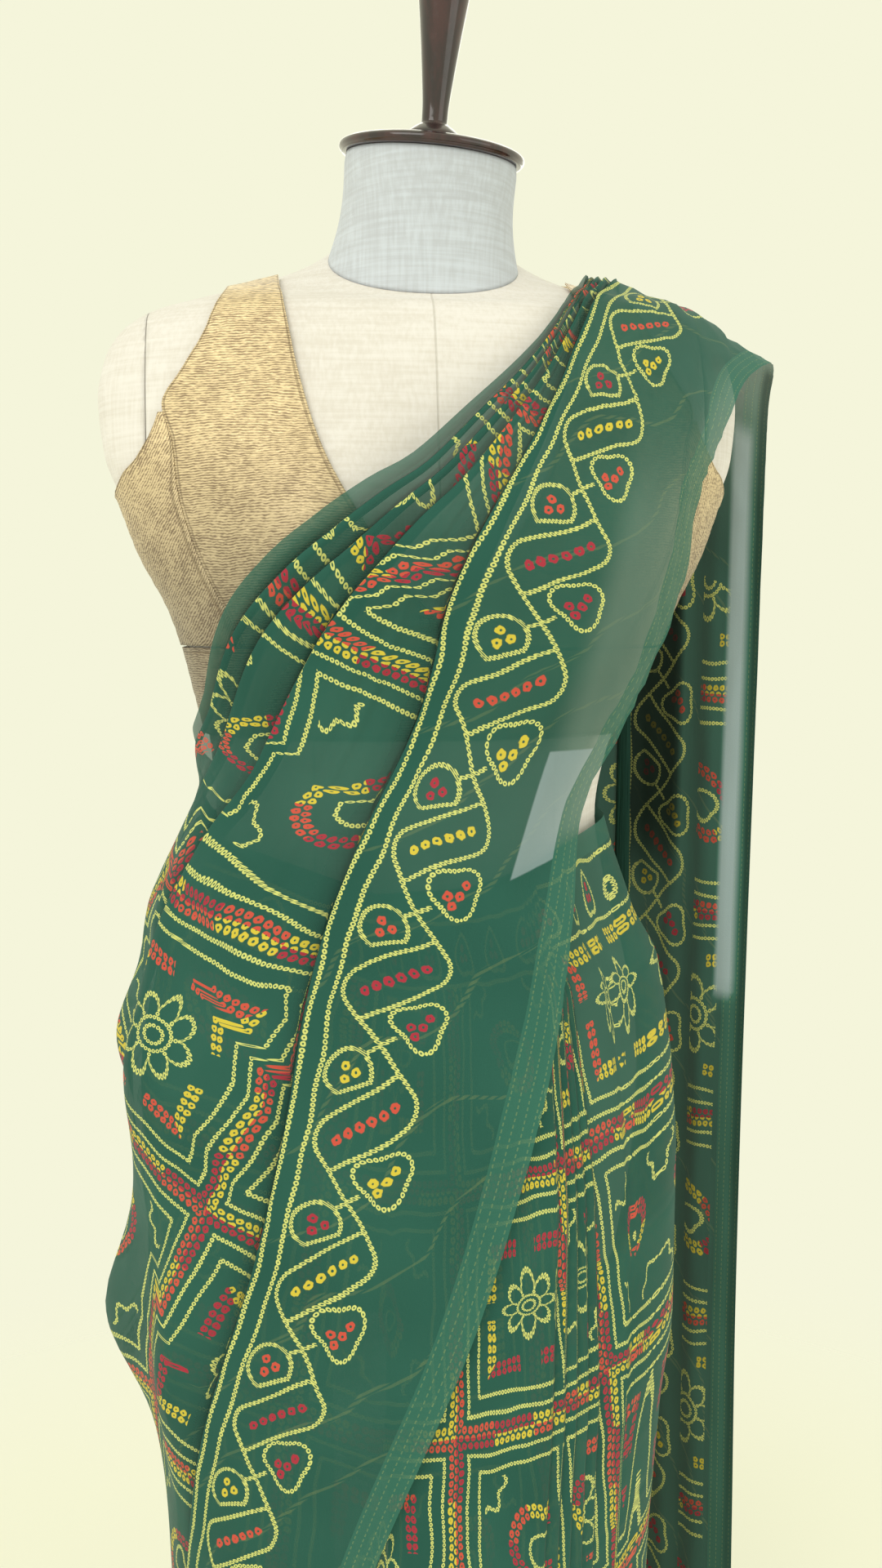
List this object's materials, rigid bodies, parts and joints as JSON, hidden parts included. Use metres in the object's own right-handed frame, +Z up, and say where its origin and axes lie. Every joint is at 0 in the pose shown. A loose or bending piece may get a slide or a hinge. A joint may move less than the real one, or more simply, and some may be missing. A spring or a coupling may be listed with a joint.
{
  "type": "printed sari on dress form",
  "caption": "Green printed georgette sari wound, pleated and draped over one shoulder of a padded dress form that wears a gold sleeveless blouse.",
  "frame": {"origin": "middle of the underside of the stand's foot, on the floor", "axes": "+Z up, -Y the way the form's front faces, +X to the right of someone who looks at its front"},
  "size_m": [0.5047, 0.4089, 1.6216],
  "materials": {
    "linen": "plain woven linen cover",
    "wood": "dark glossy lacquer",
    "metal": "black satin",
    "lurex": "crinkled cloth with a gold thread",
    "georgette": "thin crepe georgette with a tie-dye print"
  },
  "bodies": {
    "root": {"form_trunk": "linen", "arm_cap_left": "linen", "arm_cap_right": "linen", "form_neck": "linen", "neck_cap": "wood", "handle": "wood", "trunk_plate": "wood", "pole": "metal", "foot": "metal", "blouse_front_left": "lurex", "blouse_front_right": "lurex", "blouse_side_left": "lurex", "blouse_side_right": "lurex", "blouse_back": "lurex", "blouse_band": "lurex", "sari": "georgette"}
  },
  "joints": []
}
